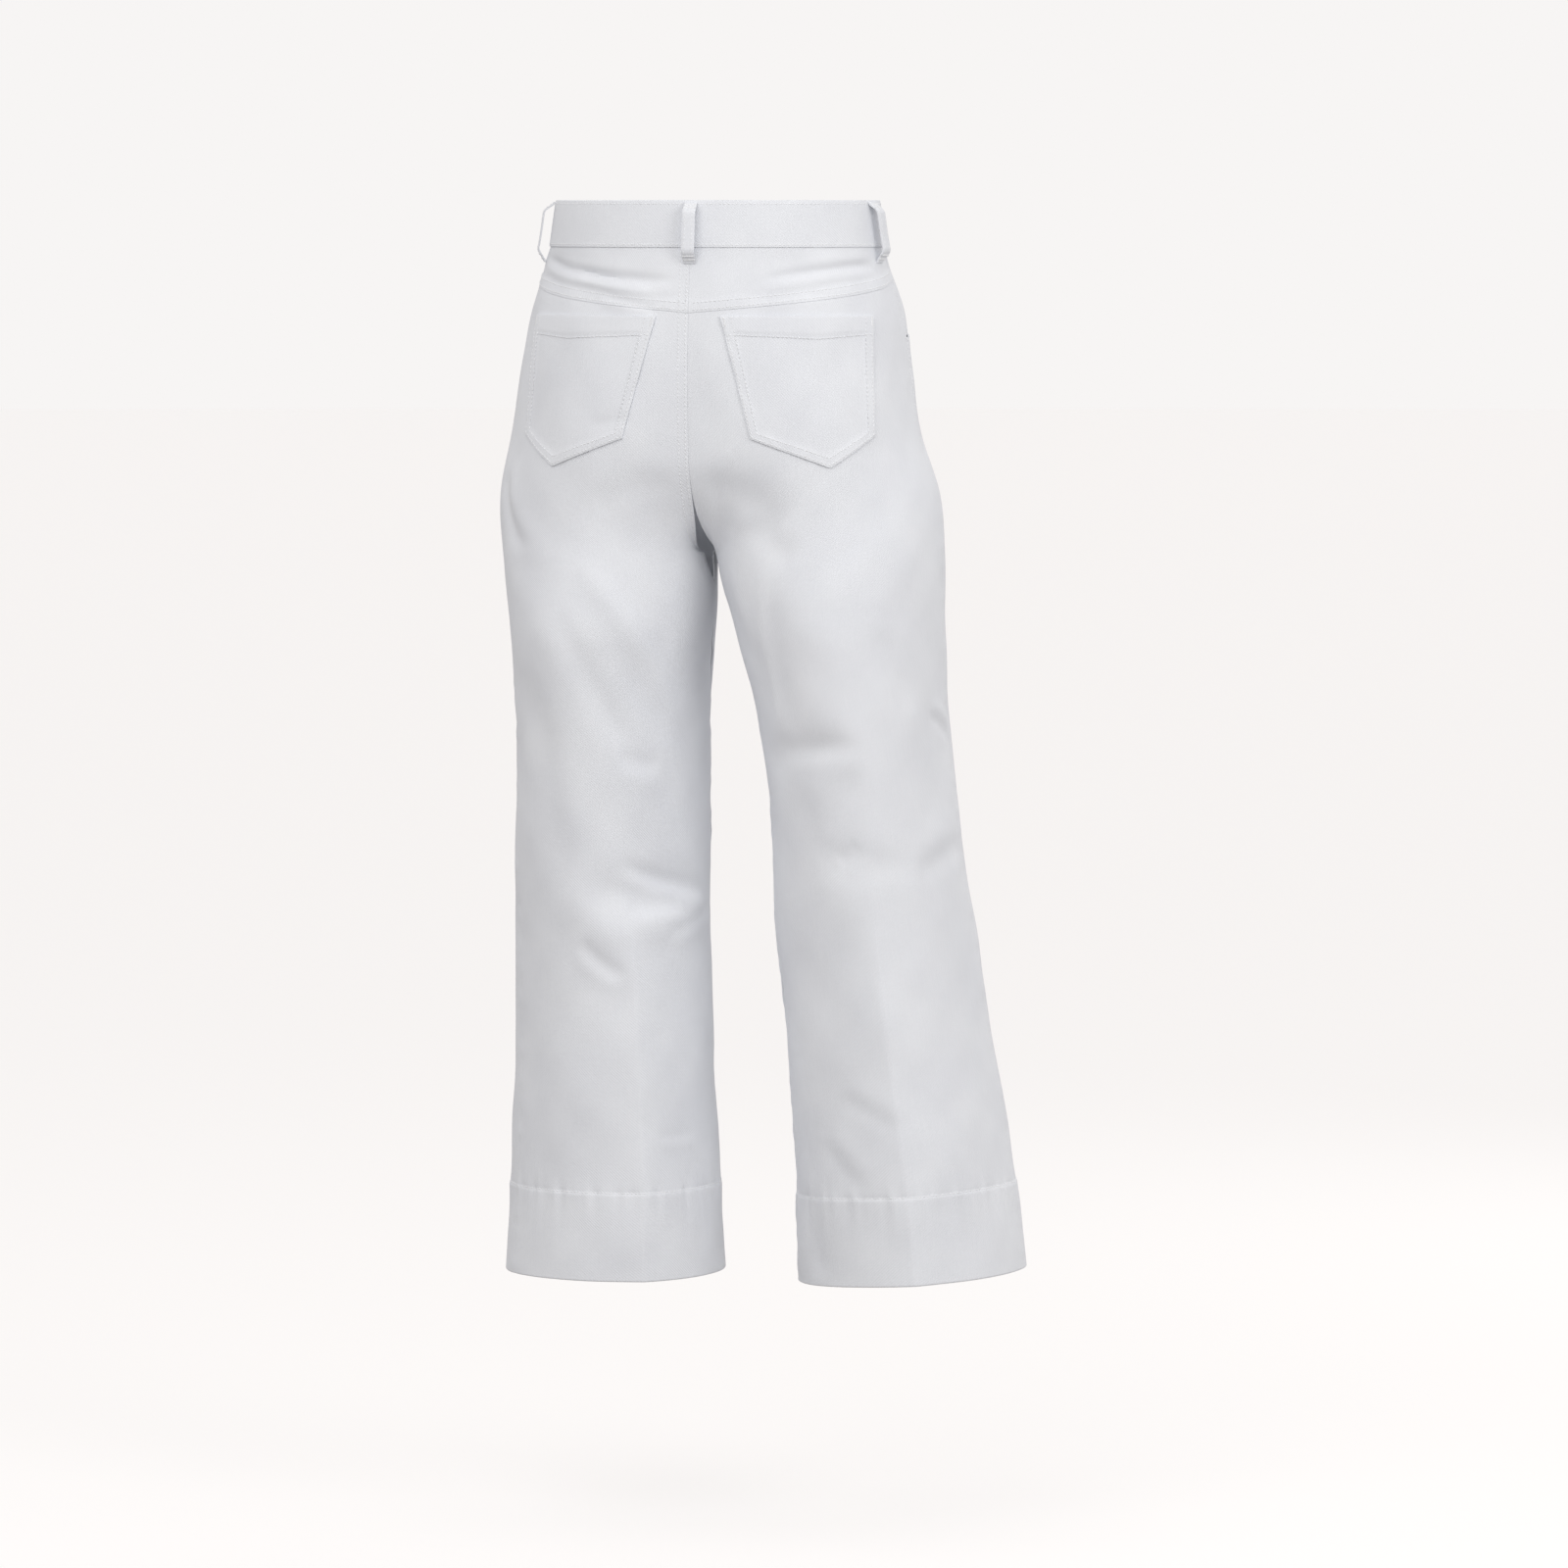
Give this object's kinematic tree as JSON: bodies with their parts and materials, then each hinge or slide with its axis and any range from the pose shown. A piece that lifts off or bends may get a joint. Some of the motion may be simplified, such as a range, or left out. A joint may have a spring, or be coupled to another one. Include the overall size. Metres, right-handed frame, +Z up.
{
  "type": "wide leg jeans",
  "caption": "High-rise wide leg jeans, hollow and filled out as worn, with pressed creases, deep turned hems, patch back pockets, belt loops and a buttoned waistband.",
  "frame": {"origin": "middle of the waist opening, at half the depth of the waistband, where the wearer's waist holds the garment", "axes": "+Z up the body; the front faces -Y and the back faces +Y; the wearer's left is +X"},
  "size_m": [0.4734, 0.2338, 0.9551],
  "materials": {
    "denim": "white cotton twill with a soft, matt face",
    "button_metal": "satin nickel"
  },
  "bodies": {
    "root": {"back_left": "denim", "back_right": "denim", "front_left": "denim", "front_right": "denim", "yoke_left": "denim", "yoke_right": "denim", "waistband": "denim", "back_pocket_left": "denim", "back_pocket_right": "denim", "pocket_facing_left": "denim", "pocket_facing_right": "denim", "fly_shield": "denim", "loop_back": "denim", "loop_side_left": "denim", "loop_side_right": "denim", "loop_front_left": "denim", "loop_front_right": "denim", "waist_button": "button_metal"}
  },
  "joints": []
}
